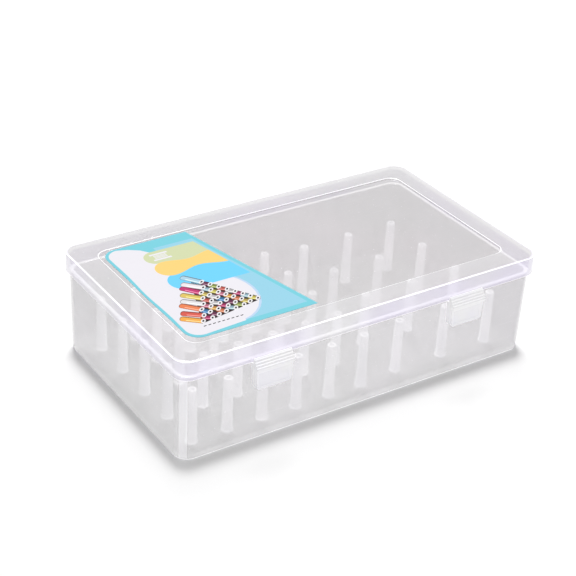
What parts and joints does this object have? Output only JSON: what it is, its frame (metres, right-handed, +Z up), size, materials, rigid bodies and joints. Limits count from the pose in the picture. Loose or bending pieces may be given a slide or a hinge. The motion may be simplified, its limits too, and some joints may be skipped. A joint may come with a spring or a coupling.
{
  "type": "thread spool storage box",
  "caption": "Clear hinged box with two snap latches on the front, a printed card in its lid and upright posts on its floor that each hold a spool of thread.",
  "frame": {"origin": "on the surface that the box stands on, under the middle of the outline of the closed box with its latches and hinges", "axes": "+X along the long front from left to right, +Y from the latches at the front to the hinges at the back, +Z up"},
  "size_m": [0.245, 0.152, 0.065],
  "materials": {
    "clear_plastic": "clear moulded polystyrene, glossy, thin walls that look faintly grey",
    "milky_plastic": "milky translucent moulded plastic, satin",
    "white_plastic": "white moulded polypropylene, satin",
    "printed_card": "gloss-laminated printed card"
  },
  "bodies": {
    "tray_body": {"tray": "clear_plastic", "hinge_pin_left": "clear_plastic", "hinge_pin_right": "clear_plastic", "spool_post_01": "milky_plastic", "spool_post_02": "milky_plastic", "spool_post_03": "milky_plastic", "spool_post_04": "milky_plastic", "spool_post_05": "milky_plastic", "spool_post_06": "milky_plastic", "spool_post_07": "milky_plastic", "spool_post_08": "milky_plastic", "spool_post_09": "milky_plastic", "spool_post_10": "milky_plastic", "spool_post_11": "milky_plastic", "spool_post_12": "milky_plastic", "spool_post_13": "milky_plastic", "spool_post_14": "milky_plastic", "spool_post_15": "milky_plastic", "spool_post_16": "milky_plastic", "spool_post_17": "milky_plastic", "spool_post_18": "milky_plastic", "spool_post_19": "milky_plastic", "spool_post_20": "milky_plastic", "spool_post_21": "milky_plastic", "spool_post_22": "milky_plastic", "spool_post_23": "milky_plastic", "spool_post_24": "milky_plastic", "spool_post_25": "milky_plastic", "spool_post_26": "milky_plastic", "spool_post_27": "milky_plastic", "spool_post_28": "milky_plastic", "spool_post_29": "milky_plastic", "spool_post_30": "milky_plastic", "spool_post_31": "milky_plastic", "spool_post_32": "milky_plastic", "spool_post_33": "milky_plastic", "spool_post_34": "milky_plastic", "spool_post_35": "milky_plastic", "spool_post_36": "milky_plastic", "spool_post_37": "milky_plastic", "spool_post_38": "milky_plastic", "spool_post_39": "milky_plastic", "spool_post_40": "milky_plastic", "spool_post_41": "milky_plastic", "spool_post_42": "milky_plastic"},
    "lid_body": {"lid": "clear_plastic", "label_card": "printed_card"},
    "latch_left_body": {"latch_left": "white_plastic"},
    "latch_right_body": {"latch_right": "white_plastic"}
  },
  "joints": [
    {"name": "lid_hinge", "type": "hinge", "parent": "tray_body", "child": "lid_body", "pos_m": [0, 0.0734, 0.053], "axis": [-1, 0, 0], "range_deg": [0, 110]},
    {"name": "latch_left_pivot", "type": "hinge", "parent": "tray_body", "child": "latch_left_body", "pos_m": [-0.0664, -0.0712, 0.0387], "axis": [1, 0, 0], "range_deg": [0, 95]},
    {"name": "latch_right_pivot", "type": "hinge", "parent": "tray_body", "child": "latch_right_body", "pos_m": [0.0664, -0.0712, 0.0387], "axis": [1, 0, 0], "range_deg": [0, 95]}
  ]
}
